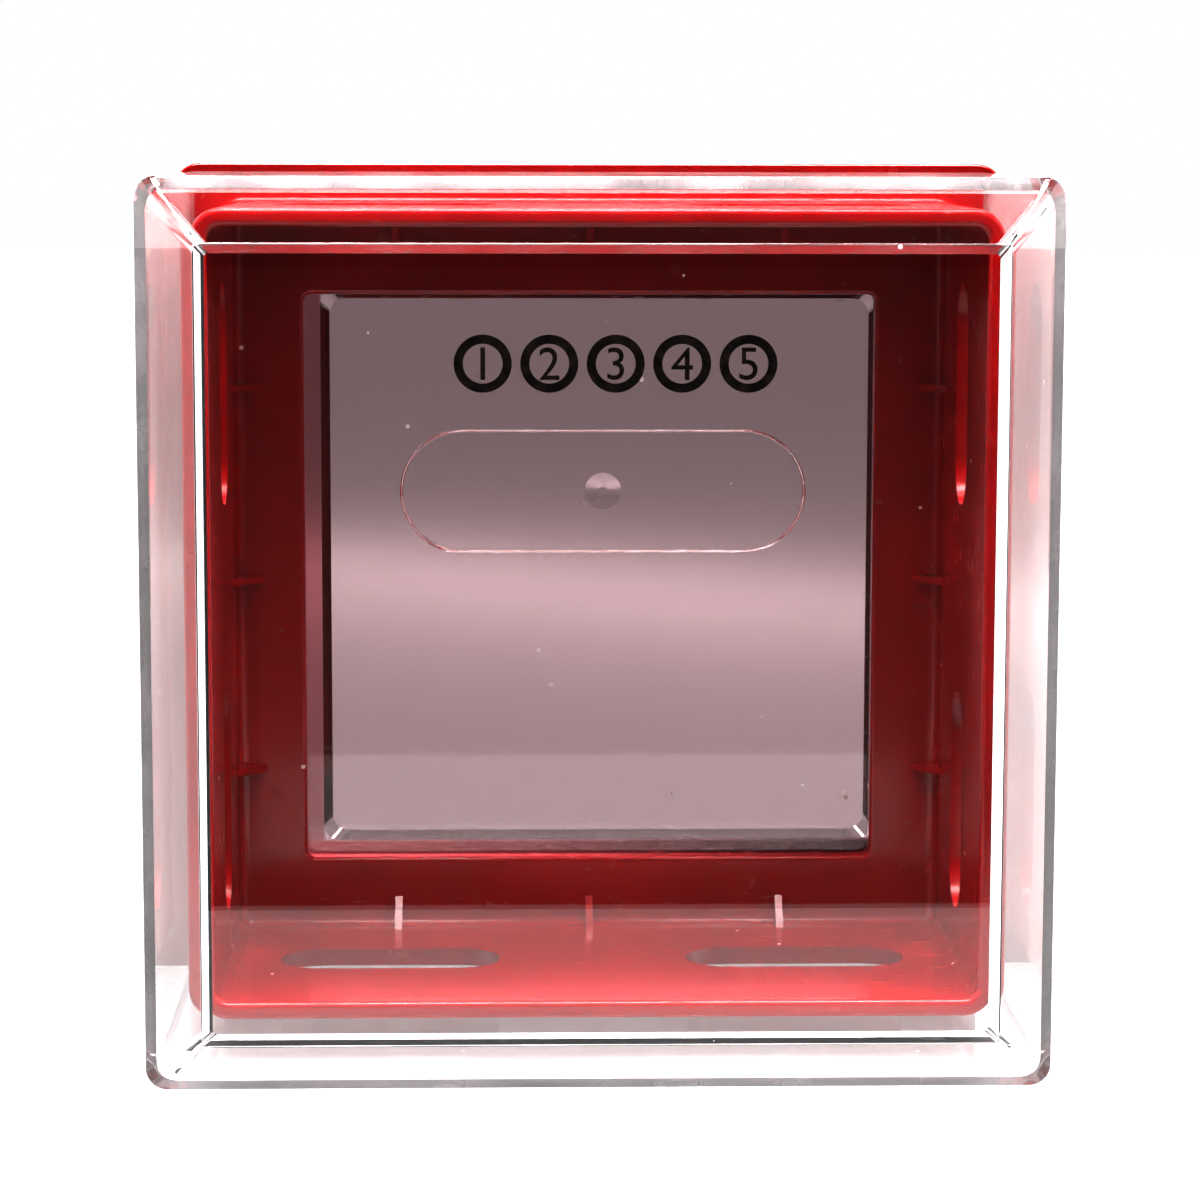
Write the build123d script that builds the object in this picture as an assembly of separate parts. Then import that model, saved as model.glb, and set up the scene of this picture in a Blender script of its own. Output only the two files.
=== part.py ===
"""Square ball box: a red ball tray on a square flange, a clear stepped panel
behind the window in its floor, and a clear bevelled cover that slips over the
tray from the front.

Millimetres. +Z is up, the front faces -Y, and the origin is the middle of the
footprint, on the surface that the box stands on.
"""
from build123d import *
from math import atan2, tan
import os

# ---- clear cover ----
COVER_SIZE = 100.0             # outside width and height
COVER_DEPTH = 59.1             # front face to rear edge
COVER_WALL = 2.3
COVER_EDGE_RADIUS = 2.3        # the four long outside edges
COVER_INNER_RADIUS = 0.5       # the same edges inside
BEVEL_INSET = 6.95             # how far the front face steps in on each side
BEVEL_DEPTH = 8.2              # how far back the bevel runs
FACE_CORNER_RADIUS = 0.5       # corners of the front face
BEVEL_REAR_FILLET = 0.8        # where the bevel meets the sides
FACE_EDGE_FILLET = 0.25        # where the bevel meets the front face

# ---- gate recess in the cover's front face ----
GATE_RECESS_LENGTH = 42.6
GATE_RECESS_HEIGHT = 12.8
GATE_RECESS_DEPTH = 0.4
GATE_RECESS_RISE = 17.0        # above the middle of the face
GATE_RECESS_EDGE = 0.18        # rounding of the recess's two rims
GATE_DOME_DIAMETER = 3.9
GATE_DOME_HEIGHT = 0.25
GATE_STUB_DIAMETER = 1.0
GATE_STUB_HEIGHT = 0.35        # above the recess's floor, still below the face

# ---- ball tray ----
TRAY_GAP = 2.7                 # cover's inside to the tray's walls, on each side
TRAY_RISE = 0.5                # tray's middle above the cover's middle
TRAY_WALL = 2.0
TRAY_DEPTH = 41.0              # rim to floor
TRAY_CORNER_RADIUS = 3.5       # outside
RIM_FILLET = 0.7
FLOOR_FILLET = 1.2             # inside, where the walls meet the floor
ROOT_FILLET = 0.9              # outside, where the walls meet the locating step
WALL_SLOT_LENGTH = 26.0
WALL_SLOT_WIDTH = 10.0
WALL_SLOT_END_LAND = 6.0       # slot's outer end to the inside corner of the tray
WALL_SLOT_SETBACK = 21.8       # rim to centre of the slot
GUSSET_LEG = 3.4
GUSSET_THICKNESS = 0.9
GUSSET_END_LAND = 19.5         # outer gusset to the inside corner of the tray

# ---- flange behind the tray ----
FLANGE_OVERHANG = 0.5          # how far it stands out past the cover on each side
FLANGE_DEPTH = 6.0             # front face to the skirt's rear edge
FLANGE_CORNER_RADIUS = 3.5
FLANGE_PLATE = 2.4
SKIRT_WALL = 2.0
FLANGE_EDGE_FILLET = 0.4
FLOOR_LEDGE = 8.25             # floor left between the tray's walls and the window
WINDOW_CORNER_RADIUS = 1.0
WINDOW_EDGE_FILLET = 0.6       # the window's front edge

# ---- clear panel behind the window ----
PANEL_LAP = 4.0                # how far the panel reaches past the window on each side
PANEL_CORNER_RADIUS = 2.0
PANEL_THICKNESS = 2.2
PAD_INSET = 0.55               # raised pad's edge inside the window's, on each side
PAD_HEIGHT = 1.1               # its bevelled sides rise at 45 degrees
PAD_CORNER_RADIUS = 2.0
PAD_SHIFT_X = 1.3              # the pad sits a little off the window's centre
PAD_SHIFT_Z = 1.0

# ---- fits ----
SEAT_GAP = 0.3                 # cover's rear edge to the flange
STEP_PLAY = 0.3                # least gap between the locating step and the cover
STEP_HEIGHT = 2.0
OVERCUT = 1.0                  # how far a cutting tool runs past the face it opens
PICK_MARGIN = 0.2              # how far past a size an edge is still picked

# ---- places that follow from the sizes ----
TOTAL_DEPTH = COVER_DEPTH + SEAT_GAP + FLANGE_DEPTH
FRONT_Y = -TOTAL_DEPTH / 2
COVER_REAR_Y = FRONT_Y + COVER_DEPTH
FLOOR_Y = COVER_REAR_Y + SEAT_GAP
RIM_Y = FLOOR_Y - TRAY_DEPTH
STEP_Y = FLOOR_Y - STEP_HEIGHT
PLATE_REAR_Y = FLOOR_Y + FLANGE_PLATE
BACK_Y = FLOOR_Y + FLANGE_DEPTH
COVER_BORE = COVER_SIZE - 2 * COVER_WALL
FLANGE_SIZE = COVER_SIZE + 2 * FLANGE_OVERHANG
TRAY_SIZE = COVER_BORE - 2 * TRAY_GAP
TRAY_BORE = TRAY_SIZE - 2 * TRAY_WALL
WINDOW_SIZE = TRAY_BORE - 2 * FLOOR_LEDGE
PANEL_SIZE = WINDOW_SIZE + 2 * PANEL_LAP
PAD_SIZE = WINDOW_SIZE - 2 * PAD_INSET
COVER_Z = COVER_SIZE / 2       # the cover and the flange both stand on z = 0
FLANGE_Z = FLANGE_SIZE / 2
TRAY_Z = COVER_Z + TRAY_RISE
TRAY_AXIS = Axis((0, 0, TRAY_Z), (0, 1, 0))


def facing_front(y, z, x=0.0):
    """A work plane that faces the front, at the given place."""
    return Plane(origin=(x, y, z), x_dir=(1, 0, 0), z_dir=(0, -1, 0))


def square_block(size, radius, front_y, rear_y, middle_z):
    """A square block along Y with rounded long edges."""
    section = facing_front(rear_y, middle_z) * RectangleRounded(size, size, radius)
    return extrude(section, rear_y - front_y)


def square_frustum(front, rear, middle_z, middle_x=0.0):
    """A bevelled block; front and rear are each (size, corner radius, y)."""
    sections = []
    for size, radius, y in (front, rear):
        sections.append(facing_front(y, middle_z, middle_x) * RectangleRounded(size, size, radius))
    return loft(sections, ruled=True)


def edges_in_plane(shape, y, middle_z, half_size):
    """The edges that lie in the plane at y, out to half_size from the middle."""
    chosen = []
    for edge in shape.edges().filter_by_position(Axis.Y, y - 0.01, y + 0.01):
        middle = edge.center()
        if max(abs(middle.X), abs(middle.Z - middle_z)) < half_size + PICK_MARGIN:
            chosen.append(edge)
    return chosen


def make_gate_dome(floor_y, middle_z):
    """The low dome and snapped stub that the moulding gate leaves."""
    half_width = GATE_DOME_DIAMETER / 2
    ball_radius = (half_width ** 2 + GATE_DOME_HEIGHT ** 2) / (2 * GATE_DOME_HEIGHT)
    ball = Pos(0, floor_y - GATE_DOME_HEIGHT + ball_radius, middle_z) * Sphere(ball_radius)
    base = facing_front(floor_y, middle_z)
    dome = ball & extrude(base * Circle(GATE_DOME_DIAMETER), GATE_DOME_DIAMETER)
    return dome + extrude(base * Circle(GATE_STUB_DIAMETER / 2), GATE_STUB_HEIGHT)


def make_cover():
    """The clear bevelled cover, open at the rear, with its gate recess."""
    face_size = COVER_SIZE - 2 * BEVEL_INSET
    bevel_rear_y = FRONT_Y + BEVEL_DEPTH
    outside = square_frustum((face_size, FACE_CORNER_RADIUS, FRONT_Y),
                             (COVER_SIZE, COVER_EDGE_RADIUS, bevel_rear_y), COVER_Z)
    outside += square_block(COVER_SIZE, COVER_EDGE_RADIUS, bevel_rear_y, COVER_REAR_Y, COVER_Z)
    bevel_rear_edges = edges_in_plane(outside, bevel_rear_y, COVER_Z, COVER_SIZE / 2)
    outside = fillet(bevel_rear_edges, BEVEL_REAR_FILLET)
    face_edges = edges_in_plane(outside, FRONT_Y, COVER_Z, face_size / 2)
    outside = fillet(face_edges, FACE_EDGE_FILLET)

    # the inside is the outside's profile moved in by one wall
    face_turn = atan2(BEVEL_DEPTH, BEVEL_INSET)
    side_turn = atan2(BEVEL_INSET, BEVEL_DEPTH)
    inner_face_size = face_size - 2 * COVER_WALL * tan(face_turn / 2)
    inner_bevel_rear_y = bevel_rear_y + COVER_WALL * tan(side_turn / 2)
    inside = square_frustum((inner_face_size, COVER_INNER_RADIUS, FRONT_Y + COVER_WALL),
                            (COVER_BORE, COVER_INNER_RADIUS, inner_bevel_rear_y), COVER_Z)
    inside += square_block(COVER_BORE, COVER_INNER_RADIUS, inner_bevel_rear_y,
                           COVER_REAR_Y + OVERCUT, COVER_Z)
    cover = outside - inside

    recess_z = COVER_Z + GATE_RECESS_RISE
    recess_floor_y = FRONT_Y + GATE_RECESS_DEPTH
    slot = SlotOverall(GATE_RECESS_LENGTH, GATE_RECESS_HEIGHT)
    cover -= extrude(facing_front(recess_floor_y, recess_z) * slot, GATE_RECESS_DEPTH + OVERCUT)
    rims = edges_in_plane(cover, recess_floor_y, recess_z, GATE_RECESS_LENGTH / 2)
    rims += edges_in_plane(cover, FRONT_Y, recess_z, GATE_RECESS_LENGTH / 2)
    cover = fillet(rims, GATE_RECESS_EDGE)
    return cover + make_gate_dome(recess_floor_y, recess_z)


def make_gussets():
    """Small webs in the corner between the tray's walls and its floor."""
    wall_z = TRAY_Z - TRAY_BORE / 2
    sunk = TRAY_WALL / 2
    side = Plane(origin=(-GUSSET_THICKNESS / 2, 0, 0), x_dir=(0, 1, 0), z_dir=(1, 0, 0))
    corners = [
        (FLOOR_Y + sunk, wall_z - sunk),
        (FLOOR_Y - GUSSET_LEG, wall_z - sunk),
        (FLOOR_Y - GUSSET_LEG, wall_z),
        (FLOOR_Y, wall_z + GUSSET_LEG),
        (FLOOR_Y + sunk, wall_z + GUSSET_LEG),
    ]
    web = extrude(side * make_face(Polyline(*corners, close=True)), GUSSET_THICKNESS)
    spread = TRAY_BORE / 2 - GUSSET_END_LAND
    webs = []
    for angle in (0, 90, 180, 270):
        for offset in (-spread, 0, spread):
            webs.append((Pos(offset, 0, 0) * web).rotate(TRAY_AXIS, angle))
    return webs


def make_slot_cutters():
    """Bars that cut the two slots in each of the tray's four walls."""
    upright = Plane(origin=(0, RIM_Y + WALL_SLOT_SETBACK, 0), x_dir=(1, 0, 0), z_dir=(0, 0, 1))
    bar = extrude(upright * SlotOverall(WALL_SLOT_LENGTH, WALL_SLOT_WIDTH), FLANGE_SIZE)
    spread = TRAY_BORE / 2 - WALL_SLOT_END_LAND - WALL_SLOT_LENGTH / 2
    bars = []
    for angle in (0, 90):
        for offset in (-spread, spread):
            bars.append((Pos(offset, 0, 0) * bar).rotate(TRAY_AXIS, angle))
    return bars


def make_tray():
    """The red moulding: tray walls, floor, flange, skirt and locating step."""
    tray = square_block(FLANGE_SIZE, FLANGE_CORNER_RADIUS, FLOOR_Y, BACK_Y, FLANGE_Z)
    flange_edges = edges_in_plane(tray, FLOOR_Y, FLANGE_Z, FLANGE_SIZE / 2)
    tray = fillet(flange_edges, FLANGE_EDGE_FILLET)
    skirt_bore = FLANGE_SIZE - 2 * SKIRT_WALL
    skirt_radius = FLANGE_CORNER_RADIUS - SKIRT_WALL
    tray -= square_block(skirt_bore, skirt_radius, PLATE_REAR_Y, BACK_Y + OVERCUT, FLANGE_Z)

    # the tray stands a little higher than the cover, so the play is least at the top
    step_size = COVER_BORE - 2 * STEP_PLAY - 2 * TRAY_RISE
    tray += square_block(step_size, TRAY_CORNER_RADIUS, STEP_Y, FLOOR_Y, TRAY_Z)
    tray += square_block(TRAY_SIZE, TRAY_CORNER_RADIUS, RIM_Y, FLOOR_Y, TRAY_Z)
    tray = fillet(edges_in_plane(tray, STEP_Y, TRAY_Z, TRAY_SIZE / 2), ROOT_FILLET)

    bore_radius = TRAY_CORNER_RADIUS - TRAY_WALL
    tray -= square_block(TRAY_BORE, bore_radius, RIM_Y - OVERCUT, FLOOR_Y, TRAY_Z)
    tray = fillet(edges_in_plane(tray, RIM_Y, TRAY_Z, TRAY_SIZE / 2), RIM_FILLET)
    floor_fillet = min(FLOOR_FILLET, FLOOR_LEDGE / 2)
    tray = fillet(edges_in_plane(tray, FLOOR_Y, TRAY_Z, TRAY_BORE / 2), floor_fillet)

    tray -= square_block(WINDOW_SIZE, WINDOW_CORNER_RADIUS, FLOOR_Y - OVERCUT, BACK_Y, TRAY_Z)
    window_fillet = min(WINDOW_EDGE_FILLET, FLOOR_LEDGE / 4)
    tray = fillet(edges_in_plane(tray, FLOOR_Y, TRAY_Z, WINDOW_SIZE / 2), window_fillet)
    tray += make_gussets()
    return tray - make_slot_cutters()


def make_panel():
    """The clear panel on the plate's back, with its raised bevelled pad."""
    panel_rear_y = PLATE_REAR_Y + PANEL_THICKNESS
    panel = square_block(PANEL_SIZE, PANEL_CORNER_RADIUS, PLATE_REAR_Y, panel_rear_y, TRAY_Z)
    base = (PAD_SIZE, PAD_CORNER_RADIUS, panel_rear_y)
    top = (PAD_SIZE - 2 * PAD_HEIGHT, PAD_CORNER_RADIUS, panel_rear_y + PAD_HEIGHT)
    return panel + square_frustum(base, top, TRAY_Z + PAD_SHIFT_Z, PAD_SHIFT_X)


os.makedirs("parts", exist_ok=True)
nodes = {
    "ball_tray": make_tray(),
    "clear_cover": make_cover(),
    "back_panel": make_panel(),
}
for name, shape in nodes.items():
    export_step(shape, f"parts/{name}.step")
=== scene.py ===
"""Looks of the square ball box: camera, plastics, printed number balls, floor and lights."""

import math

import bpy
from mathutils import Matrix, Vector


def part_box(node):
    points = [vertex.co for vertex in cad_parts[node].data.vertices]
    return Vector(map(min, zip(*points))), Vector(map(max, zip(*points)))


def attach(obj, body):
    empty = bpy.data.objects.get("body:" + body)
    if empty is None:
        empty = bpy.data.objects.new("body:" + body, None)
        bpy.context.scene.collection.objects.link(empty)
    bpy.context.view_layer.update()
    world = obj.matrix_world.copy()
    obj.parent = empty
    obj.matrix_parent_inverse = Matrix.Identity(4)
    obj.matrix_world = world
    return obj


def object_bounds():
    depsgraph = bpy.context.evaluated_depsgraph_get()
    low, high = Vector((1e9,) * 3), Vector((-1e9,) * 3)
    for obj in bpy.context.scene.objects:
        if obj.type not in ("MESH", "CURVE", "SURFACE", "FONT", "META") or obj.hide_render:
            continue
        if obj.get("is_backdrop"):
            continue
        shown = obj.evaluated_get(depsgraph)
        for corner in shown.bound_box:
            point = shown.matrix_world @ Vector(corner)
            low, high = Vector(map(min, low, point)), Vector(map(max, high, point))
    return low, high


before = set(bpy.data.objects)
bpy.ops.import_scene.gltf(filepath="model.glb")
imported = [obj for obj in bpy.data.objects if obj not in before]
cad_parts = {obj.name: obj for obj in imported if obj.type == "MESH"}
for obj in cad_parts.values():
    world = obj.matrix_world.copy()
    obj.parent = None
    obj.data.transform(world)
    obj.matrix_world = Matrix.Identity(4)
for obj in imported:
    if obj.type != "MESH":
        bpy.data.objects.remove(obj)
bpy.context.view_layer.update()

MM = 0.001

# ---- camera, in metres and degrees ----
CAMERA_PLACE = (-0.0107, -0.4088, 0.1040)
CAMERA_PITCH = 7.358
CAMERA_YAW = 1.583
CAMERA_ROLL = 0.12
CAMERA_LENS = 107.18           # millimetres, on a sensor of 36
SENSOR_WIDTH = 36.0
PICTURE_GAMMA = 0.70           # below 1 deepens the shadows

# ---- printed row of number balls on the cover's face ----
BALL_COUNT = 5
BALL_DIAMETER = 6.1 * MM
BALL_GAP = 0.9 * MM
BALL_RING = 0.95 * MM
RING_SEGMENTS = 64
DIGIT_HEIGHT = 3.4 * MM
PRINT_RISE = 30.5 * MM         # above the middle of the cover's face
PRINT_SHIFT = 1.3 * MM
INK_THICKNESS = 0.04 * MM
INK_LIFT = 0.01 * MM           # gap between the ink and the plastic

# ---- milkiness of the cover's side walls ----
WALL_HAZE = 0.05
WALL_STREAKS = 0.05            # added in the streaks
WALL_HAZE_BLEND = 4.0 * MM
BEVEL_REAR = 9.0 * MM          # from the cover's face to behind its bevel

# ---- back panel: painted red shade of the window's red edge, in the margins left of its pad and below it ----
PAD_FROM_LEFT = 5.9 * MM       # the panel's left side to the pad
PAD_FROM_BOTTOM = 5.6 * MM
MARGIN_BLEND = 0.15 * MM

# ---- floor, dark cards and room ----
FLOOR_SIZE = 6.0
FLOOR_DROP = 0.2 * MM          # keeps the floor just under the box
FLOOR_GLOW = 0.6               # the floor's glow through clear pieces
FLOOR_GLOW_EXTRA = 0.6         # added where the camera or a reflection finds the floor
GLOW_LIMIT = 2.0               # the glow is a share of this, because a Mix factor stops at 1
ROOM_WHITE = 1.0               # what the camera finds around the box, also through clear pieces
ROOM_SHINE = 3.0               # what gloss finds around the box
ROOM_GLOW = 0.03               # what matt surfaces get from the room
DARK_CARD_START = 0.096        # how far in front of the cover the dark card starts
DARK_CARD_REACH = 2.4
DARK_CARD_WIDTH = 5.0
DARK_CARD_HEIGHT = 2.5
DARK_CARD_LIFT = 1.0 * MM
DARK_CEILING_SIZE = 2.4
DARK_CEILING_HEIGHT = 1.3

# ---- colours ----
RED_DEEP = (0.29, 0.0008, 0.0018, 1)
RED_BRIGHT = (0.37, 0.002, 0.0035, 1)
DUST_ON_RED = (0.9, 0.8, 0.76, 1)
DUST_ON_CLEAR = (0.85, 0.82, 0.80, 1)
COVER_TINT = (0.955, 0.942, 0.946, 1)
COVER_MILK = (0.93, 0.89, 0.90, 1)
PANEL_TINT = (0.39, 0.29, 0.305, 1)
# painted shade: the window's red edge in shade, painted into the panel's margins left of the pad and below
# it
PANEL_PAINTED_SHADE_LEFT = (0.25, 0.10, 0.11, 1)
PANEL_PAINTED_SHADE_LOW_LEFT = (0.30, 0.06, 0.07, 1)      # below the pad, at the panel's left side
PANEL_PAINTED_SHADE_LOW_RIGHT = (0.03, 0.001, 0.002, 1)   # below the pad, at the panel's right side
INK_DARK = (0.012, 0.008, 0.008, 1)
INK_PALE = (0.035, 0.022, 0.020, 1)
FLOOR_GREY = (0.16, 0.16, 0.16, 1)
CARD_BLACK = (0.012, 0.009, 0.009, 1)
BLACK = (0, 0, 0, 1)
WHITE = (1, 1, 1, 1)
ROOM_WARM = (1, 0.97, 0.96, 1)

# ---- how polished each plastic is, and how strongly it bends light ----
RED_ROUGHNESS = 0.17
COVER_ROUGHNESS = 0.012
PANEL_ROUGHNESS = 0.03
INK_ROUGHNESS = 0.38
RED_IOR = 1.5
CLEAR_IOR = 1.59


def select_only(piece):
    """Leaves one object selected and active."""
    bpy.ops.object.select_all(action="DESELECT")
    piece.select_set(True)
    bpy.context.view_layer.objects.active = piece


# ---------------------------------------------------------------- camera

def add_camera():
    """The camera in front of the box, a little left of its middle and just above its top."""
    data = bpy.data.cameras.new("camera")
    data.lens = CAMERA_LENS
    data.sensor_width = SENSOR_WIDTH
    data.clip_start = 0.01
    camera = bpy.data.objects.new("camera", data)
    bpy.context.scene.collection.objects.link(camera)
    camera.location = CAMERA_PLACE
    tilt = math.radians(90 - CAMERA_PITCH)
    camera.rotation_euler = (tilt, 0, -math.radians(CAMERA_YAW))
    camera.rotation_euler.rotate_axis("Z", math.radians(CAMERA_ROLL))
    bpy.context.scene.camera = camera
    bpy.context.scene.view_settings.view_transform = "Standard"
    bpy.context.scene.view_settings.gamma = PICTURE_GAMMA


# ---------------------------------------------------------------- finishes

class Link:
    """A shader socket; an expression on its values adds the Math nodes that work it out."""

    def __init__(self, finish, socket):
        self.finish = finish
        self.socket = socket

    def math(self, operation, first, second):
        return self.finish.add("Math", {"operation": operation}, {0: first, 1: second})

    def __add__(self, other):
        return self.math("ADD", self, other)

    def __radd__(self, other):
        return self.math("ADD", other, self)

    def __rsub__(self, other):
        return self.math("SUBTRACT", other, self)

    def __mul__(self, other):
        return self.math("MULTIPLY", self, other)

    def __lt__(self, other):
        return self.math("LESS_THAN", self, other)

    def ramp(self, low, high):
        """0 below low, 1 above high, and smooth between them."""
        return self.finish.add("MapRange", {"interpolation_type": "SMOOTHSTEP"},
                               {"Value": self, "From Min": low, "From Max": high})


class Finish:
    """The nodes of one material, or of the world."""

    def __init__(self, holder):
        self.holder = holder
        holder.use_nodes = True
        self.tree = holder.node_tree
        self.tree.nodes.clear()

    def add(self, kind, settings=None, inputs=None, output=0):
        """Adds a node, with its settings first and then its sockets' values or links."""
        node = self.tree.nodes.new("ShaderNode" + kind)
        for key, value in (settings or {}).items():
            setattr(node, key, value)
        for key, value in (inputs or {}).items():
            if isinstance(value, Link):
                self.tree.links.new(value.socket, node.inputs[key])
            else:
                node.inputs[key].default_value = value
        if node.outputs:
            return Link(self, node.outputs[output])

    def place(self, scale=(1, 1, 1)):
        """Object coordinates, stretched by a scale along each axis."""
        coordinates = self.add("TexCoord", output="Object")
        return self.add("Mapping", None, {"Vector": coordinates, "Scale": scale})

    def noise(self, scale, detail=3.0, stretch=(1, 1, 1)):
        inputs = {"Vector": self.place(stretch), "Scale": scale, "Detail": detail}
        return self.add("TexNoise", None, inputs)

    def specks(self, scale, radius):
        """Small round specks, 1 inside and 0 outside; a surface cuts the speck of few cells."""
        cells = {"Vector": self.place(), "Scale": scale}
        distance = self.add("TexVoronoi", None, cells, "Distance")
        return distance < radius

    def mix_colors(self, factor, first, second):
        return self.add("Mix", {"data_type": "RGBA"}, {0: factor, 6: first, 7: second}, 2)

    def mix_shaders(self, factor, first, second):
        return self.add("MixShader", None, {0: factor, 1: first, 2: second})

    def path(self, output):
        """What kind of ray asks for the shade."""
        return self.add("LightPath", output=output)

    def along(self, axis):
        """Where a point lies along X, Y or Z, from the object's own coordinates."""
        return self.add("SeparateXYZ", None, {"Vector": self.place()}, axis)

    def bump(self, height, strength, distance):
        inputs = {"Height": height, "Strength": strength, "Distance": distance}
        return self.add("Bump", None, inputs)

    def finish(self, surface, output="OutputMaterial"):
        self.add(output, None, {"Surface": surface})
        return self.holder


def new_finish(name):
    return Finish(bpy.data.materials.new(name))


def red_plastic():
    """Glossy red moulding, with faint flow, orange peel, fine scuffs and dust."""
    finish = new_finish("red_plastic")
    flow = finish.noise(scale=45, detail=4, stretch=(1, 0.35, 1)).ramp(low=0.3, high=0.7)
    peel = finish.noise(scale=700, detail=2)
    scuffs = finish.noise(scale=260, detail=6, stretch=(1, 6, 1)).ramp(low=0.60, high=0.72)
    dust = finish.specks(scale=130, radius=0.035)
    red = finish.mix_colors(flow, RED_DEEP, RED_BRIGHT)
    color = finish.mix_colors(dust * 0.8, red, DUST_ON_RED)
    shader = finish.add("BsdfPrincipled", None, {
        "Base Color": color,
        "Roughness": RED_ROUGHNESS + flow * 0.05 + scuffs * 0.10 + dust * 0.4,
        "Normal": finish.bump(peel + scuffs * 0.4, strength=0.12, distance=0.03 * MM),
        "IOR": RED_IOR,
        "Coat Weight": 0.25,
        "Coat Roughness": 0.05,
    })
    return finish.finish(shader)


def clear_plastic(name, roughness):
    """Clear moulded plastic with hairline scratches, faint waviness and a little dust.

    Returns its finish and a function that makes its shader from a tint.
    """
    finish = new_finish(name)
    wave = finish.noise(scale=60, detail=2, stretch=(1, 1, 0.4))
    hairlines = finish.noise(scale=420, detail=5, stretch=(1, 1, 14)).ramp(low=0.66, high=0.74)
    dust = finish.specks(scale=110, radius=0.03)

    def shader(tint):
        return finish.add("BsdfPrincipled", None, {
            "Base Color": finish.mix_colors(dust * 0.6, tint, DUST_ON_CLEAR),
            "Roughness": roughness + hairlines * 0.08 + dust * 0.5,
            "Normal": finish.bump(wave + hairlines * 0.2, strength=0.05, distance=0.05 * MM),
            "IOR": CLEAR_IOR,
            "Transmission Weight": 1.0,
        })

    return finish, shader


def lamps_pass(finish, plastic, tint):
    """Lets lamplight through a clear piece."""
    shade = finish.add("BsdfTransparent", None, {"Color": tint})
    return finish.finish(finish.mix_shaders(finish.path("Is Shadow Ray"), plastic, shade))


def cover_plastic():
    """The cover: clear in front, and milkier and streaked behind its bevel."""
    finish, shader = clear_plastic("clear_plastic", COVER_ROUGHNESS)
    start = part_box("clear_cover")[0].y + BEVEL_REAR
    walls = finish.along("Y").ramp(start, start + WALL_HAZE_BLEND)
    streaks = finish.noise(scale=150, detail=3, stretch=(1, 0.12, 1)).ramp(low=0.35, high=0.75)
    milk = finish.add("BsdfDiffuse", None, {"Color": COVER_MILK})
    haze = walls * (WALL_HAZE + streaks * WALL_STREAKS)
    return lamps_pass(finish, finish.mix_shaders(haze, shader(COVER_TINT), milk), COVER_TINT)


def panel_plastic():
    """The back panel: grey-tinted, with painted red shade of the window's red edge in the margins left of
    its pad and below it.
    """
    finish, shader = clear_plastic("clear_panel", PANEL_ROUGHNESS)
    low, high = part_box("back_panel")
    x = finish.along("X")
    pad_left = low.x + PAD_FROM_LEFT
    pad_bottom = low.z + PAD_FROM_BOTTOM
    # painted shade: masks of the margins left of and below the pad, and their painted shade, darker to the
    # right below the pad
    painted_shade_left_mask = 1 - x.ramp(pad_left - MARGIN_BLEND, pad_left + MARGIN_BLEND)
    painted_shade_below_mask = 1 - finish.along("Z").ramp(pad_bottom - MARGIN_BLEND, pad_bottom + MARGIN_BLEND)
    low_painted_shade = finish.mix_colors(x.ramp(low.x, high.x), PANEL_PAINTED_SHADE_LOW_LEFT, PANEL_PAINTED_SHADE_LOW_RIGHT)
    tint_with_painted_shade = finish.mix_colors(painted_shade_left_mask, PANEL_TINT, PANEL_PAINTED_SHADE_LEFT)
    return lamps_pass(finish, shader(finish.mix_colors(painted_shade_below_mask, tint_with_painted_shade, low_painted_shade)), PANEL_TINT)


def print_ink():
    """Thin black pad-printed ink, slightly uneven."""
    finish = new_finish("print_ink")
    uneven = finish.noise(scale=900, detail=4).ramp(low=0.35, high=0.7)
    shader = finish.add("BsdfPrincipled", None, {
        "Base Color": finish.mix_colors(uneven, INK_DARK, INK_PALE),
        "Roughness": INK_ROUGHNESS + uneven * 0.2,
        "Specular IOR Level": 0.2,
        "Normal": finish.bump(uneven, strength=0.1, distance=0.01 * MM),
    })
    return finish.finish(shader)


# ---------------------------------------------------------------- printed row

def add_ring(x, y, z):
    """The round outline of one printed ball."""
    bpy.ops.object.select_all(action="DESELECT")
    bpy.ops.mesh.primitive_circle_add(vertices=RING_SEGMENTS, radius=BALL_DIAMETER / 2,
                                      fill_type="NGON", rotation=(math.pi / 2, 0, 0),
                                      location=(x, y, z))
    ring = bpy.context.object
    bpy.ops.object.mode_set(mode="EDIT")
    bpy.ops.mesh.select_all(action="SELECT")
    bpy.ops.mesh.inset(thickness=BALL_RING)
    bpy.ops.mesh.delete(type="FACE")
    bpy.ops.mesh.select_all(action="SELECT")
    bpy.ops.mesh.extrude_region_move(TRANSFORM_OT_translate={"value": (0, -INK_THICKNESS, 0)})
    bpy.ops.mesh.select_all(action="SELECT")
    bpy.ops.mesh.normals_make_consistent(inside=False)
    bpy.ops.object.mode_set(mode="OBJECT")
    bpy.ops.object.transform_apply(location=True, rotation=True, scale=True)
    return ring


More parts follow.
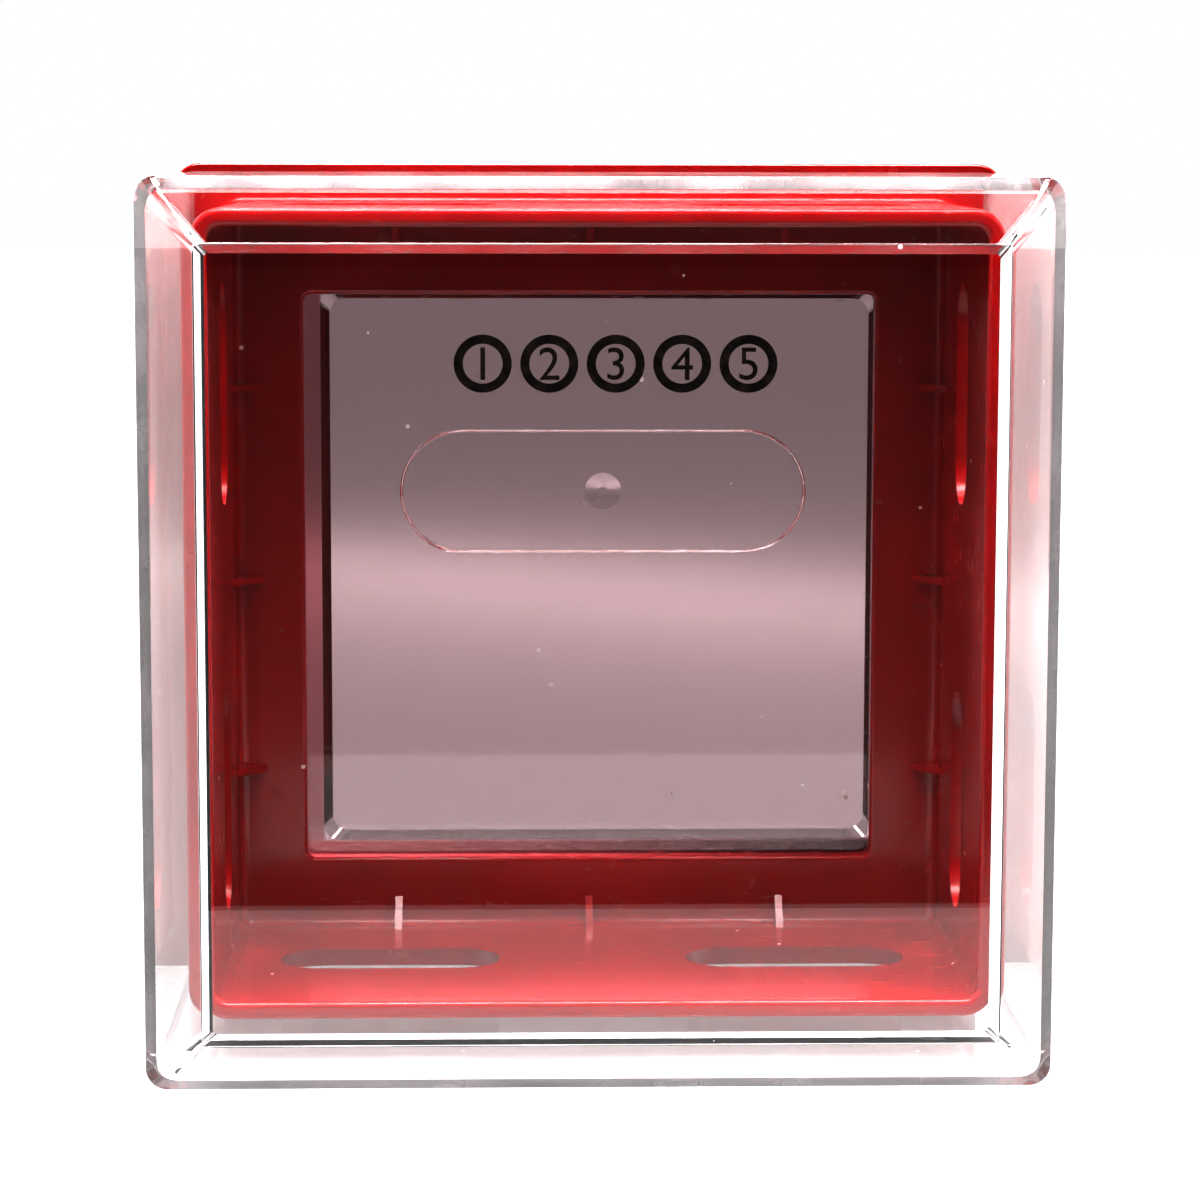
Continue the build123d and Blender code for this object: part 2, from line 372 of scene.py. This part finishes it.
def add_digit(text, x, y, z):
    """One digit in the middle of a printed ball."""
    bpy.ops.object.select_all(action="DESELECT")
    bpy.ops.object.text_add()
    digit = bpy.context.object
    digit.data.body = text
    bpy.ops.object.convert(target="MESH")
    digit = bpy.context.object
    corners = [vertex.co.copy() for vertex in digit.data.vertices]
    low_x = min(corner.x for corner in corners)
    high_x = max(corner.x for corner in corners)
    low_y = min(corner.y for corner in corners)
    high_y = max(corner.y for corner in corners)
    size = DIGIT_HEIGHT / (high_y - low_y)
    select_only(digit)
    bpy.ops.object.mode_set(mode="EDIT")
    bpy.ops.mesh.select_all(action="SELECT")
    bpy.ops.transform.translate(value=(-(low_x + high_x) / 2, -(low_y + high_y) / 2, 0))
    bpy.ops.mesh.extrude_region_move(TRANSFORM_OT_translate={"value": (0, 0, INK_THICKNESS / size)})
    bpy.ops.mesh.select_all(action="SELECT")
    bpy.ops.mesh.normals_make_consistent(inside=False)
    bpy.ops.object.mode_set(mode="OBJECT")
    digit.scale = (size, size, size)
    digit.rotation_euler = (math.pi / 2, 0, 0)
    digit.location = (x, y, z)
    bpy.ops.object.transform_apply(location=True, rotation=True, scale=True)
    return digit


def add_print():
    """A row of plain number balls, printed on the cover's face."""
    low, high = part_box("clear_cover")
    y = low.y - INK_LIFT
    z = (low.z + high.z) / 2 + PRINT_RISE
    pitch = BALL_DIAMETER + BALL_GAP
    first_x = (low.x + high.x) / 2 + PRINT_SHIFT - pitch * (BALL_COUNT - 1) / 2
    pieces = []
    for number in range(BALL_COUNT):
        x = first_x + pitch * number
        pieces.append(add_ring(x, y, z))
        pieces.append(add_digit(str(number + 1), x, y, z))
    select_only(pieces[0])
    for piece in pieces:
        piece.select_set(True)
    bpy.ops.object.join()
    row = bpy.context.object
    row.name = "number_ball_print"
    row.data.materials.clear()
    row.data.materials.append(print_ink())
    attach(row, "cover")


# ---------------------------------------------------------------- floor and lights

def add_plane(name, width, depth, place, tilt=0.0):
    """A plane of the stage, lying flat or tilted about X."""
    bpy.ops.object.select_all(action="DESELECT")
    bpy.ops.mesh.primitive_plane_add(size=1)
    plane = bpy.context.object
    plane.name = name
    plane.scale = (width, depth, 1)
    plane.rotation_euler = (math.radians(tilt), 0, 0)
    plane.location = place
    bpy.ops.object.transform_apply(location=True, rotation=True, scale=True)
    plane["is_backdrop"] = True
    return plane


def add_floor():
    """A plain floor whose glow makes it read as white, and which lights no matt surface."""
    floor = add_plane("floor", FLOOR_SIZE, FLOOR_SIZE, (0, 0, -FLOOR_DROP))
    finish = new_finish("floor_white")
    looked_at = (finish.path("Is Camera Ray") + finish.path("Glossy Depth")).ramp(0, 1)
    glow = FLOOR_GLOW + looked_at * FLOOR_GLOW_EXTRA
    scattered = finish.path("Diffuse Depth").ramp(0, 1)
    level = glow * (1 - scattered)
    brightest = (GLOW_LIMIT, GLOW_LIMIT, GLOW_LIMIT, 1)
    shader = finish.add("BsdfPrincipled", None, {
        "Base Color": FLOOR_GREY,
        "Roughness": 0.8,
        "Emission Color": finish.mix_colors(level * (1 / GLOW_LIMIT), BLACK, brightest),
        "Emission Strength": 1.0,
    })
    floor.data.materials.append(finish.finish(shader))


def add_dark_cards():
    """Dark cards in front of the box and above it, found only by light that has bounced."""
    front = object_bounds()[0][1]
    start = front - DARK_CARD_START
    end = start - DARK_CARD_REACH
    lying = add_plane("dark_card_lying", DARK_CARD_WIDTH, DARK_CARD_REACH,
                      (0, (start + end) / 2, DARK_CARD_LIFT))
    standing = add_plane("dark_card_standing", DARK_CARD_WIDTH, DARK_CARD_HEIGHT,
                         (0, end, DARK_CARD_HEIGHT / 2), 90)
    ceiling = add_plane("dark_card_ceiling", DARK_CEILING_SIZE, DARK_CEILING_SIZE,
                        (0, 0, DARK_CEILING_HEIGHT))
    finish = new_finish("dark_card")
    dark = finish.add("BsdfPrincipled", None, {"Base Color": CARD_BLACK, "Roughness": 0.9})
    clear = finish.add("BsdfTransparent")
    bounces = finish.path("Diffuse Depth") + finish.path("Glossy Depth")
    material = finish.finish(finish.mix_shaders(bounces.ramp(0, 1), clear, dark))
    for card in (lying, standing, ceiling):
        card.data.materials.append(material)
        card.visible_camera = False
        card.visible_shadow = False


def add_lamp(name, place, target, size, power, turn=0.0):
    """A soft lamp; size is its two sides, and turn is about its own axis in degrees."""
    data = bpy.data.lights.new(name, "AREA")
    data.shape = "RECTANGLE"
    data.size, data.size_y = size
    data.energy = power
    lamp = bpy.data.objects.new(name, data)
    bpy.context.scene.collection.objects.link(lamp)
    lamp.location = place
    reach = [target[i] - place[i] for i in range(3)]
    flat = math.hypot(reach[0], reach[1])
    lamp.rotation_euler = (math.atan2(flat, -reach[2]), 0, math.atan2(reach[1], reach[0]) - math.pi / 2)
    lamp.rotation_euler.rotate_axis("Z", math.radians(turn))


def add_lights():
    """Soft light from above and in front, one on the flange's top, and a soft band behind the box."""
    add_lamp("key", place=(0.03, -0.11, 0.80), target=(0.03, 0, 0.04), size=(0.70, 0.24), power=23)
    add_lamp("top_edge", place=(-0.02, 0.17, 0.50), target=(-0.02, 0.035, 0.1), size=(0.15, 0.15), power=2.0)
    add_lamp("rear_band", place=(0.0, 0.43, 0.10), target=(0.0, 0.43, 0), size=(0.06, 0.34), power=1.6,
             turn=-30)


def set_world():
    """White wherever it is looked at, brighter in reflections, and dim for matt surfaces."""
    world = bpy.data.worlds.new("room")
    bpy.context.scene.world = world
    finish = Finish(world)
    scattered = finish.path("Diffuse Depth").ramp(0, 1)
    white = finish.add("Background", None, {"Color": WHITE, "Strength": ROOM_WHITE})
    shine = finish.add("Background", None, {"Color": WHITE, "Strength": ROOM_SHINE})
    dim = finish.add("Background", None, {"Color": ROOM_WARM, "Strength": ROOM_GLOW})
    seen = finish.mix_shaders(finish.path("Glossy Depth").ramp(0, 1), white, shine)
    finish.finish(finish.mix_shaders(scattered, seen, dim), "OutputWorld")


def dress(node, material):
    """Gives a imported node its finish."""
    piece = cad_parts[node]
    if not piece.data.materials:
        piece.data.materials.append(None)
    for slot in piece.material_slots:
        slot.material = material


add_camera()
dress("ball_tray", red_plastic())
dress("clear_cover", cover_plastic())
dress("back_panel", panel_plastic())
add_print()
add_floor()
add_dark_cards()
add_lights()
set_world()
